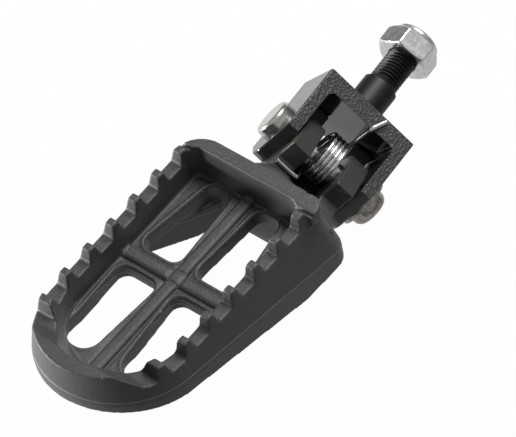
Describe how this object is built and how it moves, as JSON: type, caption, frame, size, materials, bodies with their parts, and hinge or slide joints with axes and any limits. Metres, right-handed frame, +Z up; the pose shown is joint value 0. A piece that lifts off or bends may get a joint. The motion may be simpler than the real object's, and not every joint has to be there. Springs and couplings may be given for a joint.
{
  "type": "folding footpeg",
  "caption": "Folding motorcycle footpeg: toothed open platform on a sprung hinge in a clevis bracket with a threaded mounting stud and lock nut.",
  "frame": {"origin": "on the mounting stud's axis, in the plane of the bracket's back face", "axes": "+X outboard along the peg, +Y to the rear of the motorcycle, +Z up; the platform's deck is level"},
  "size_m": [0.1771, 0.0583, 0.0514],
  "materials": {
    "platform_coating": "matt, fine grained charcoal coat on the cast steel",
    "bracket_coating": "gloss black, wrinkled on the upper face",
    "stud_steel": "blackened, satin",
    "bright_plating": "bright zinc plating",
    "nylon": "natural nylon",
    "pin_steel": "polished",
    "spring_wire": "bright drawn wire"
  },
  "bodies": {
    "bracket": {"clevis_bracket": "bracket_coating", "mounting_stud": "stud_steel", "lock_nut": "bright_plating", "nut_insert": "nylon", "hinge_pin": "pin_steel", "pin_washer": "pin_steel", "pin_cap": "pin_steel", "return_spring": "spring_wire"},
    "peg": {"peg_platform": "platform_coating"}
  },
  "joints": [
    {"name": "peg_fold", "type": "hinge", "parent": "bracket", "child": "peg", "pos_m": [0.02156, 0.00101, -0.00085], "axis": [0.061, -0.7646, 0.6416], "range_deg": [0, 85], "stiffness_Nm_per_rad": 0.35, "springref_deg": -40.11, "deforming": ["return_spring"]}
  ]
}
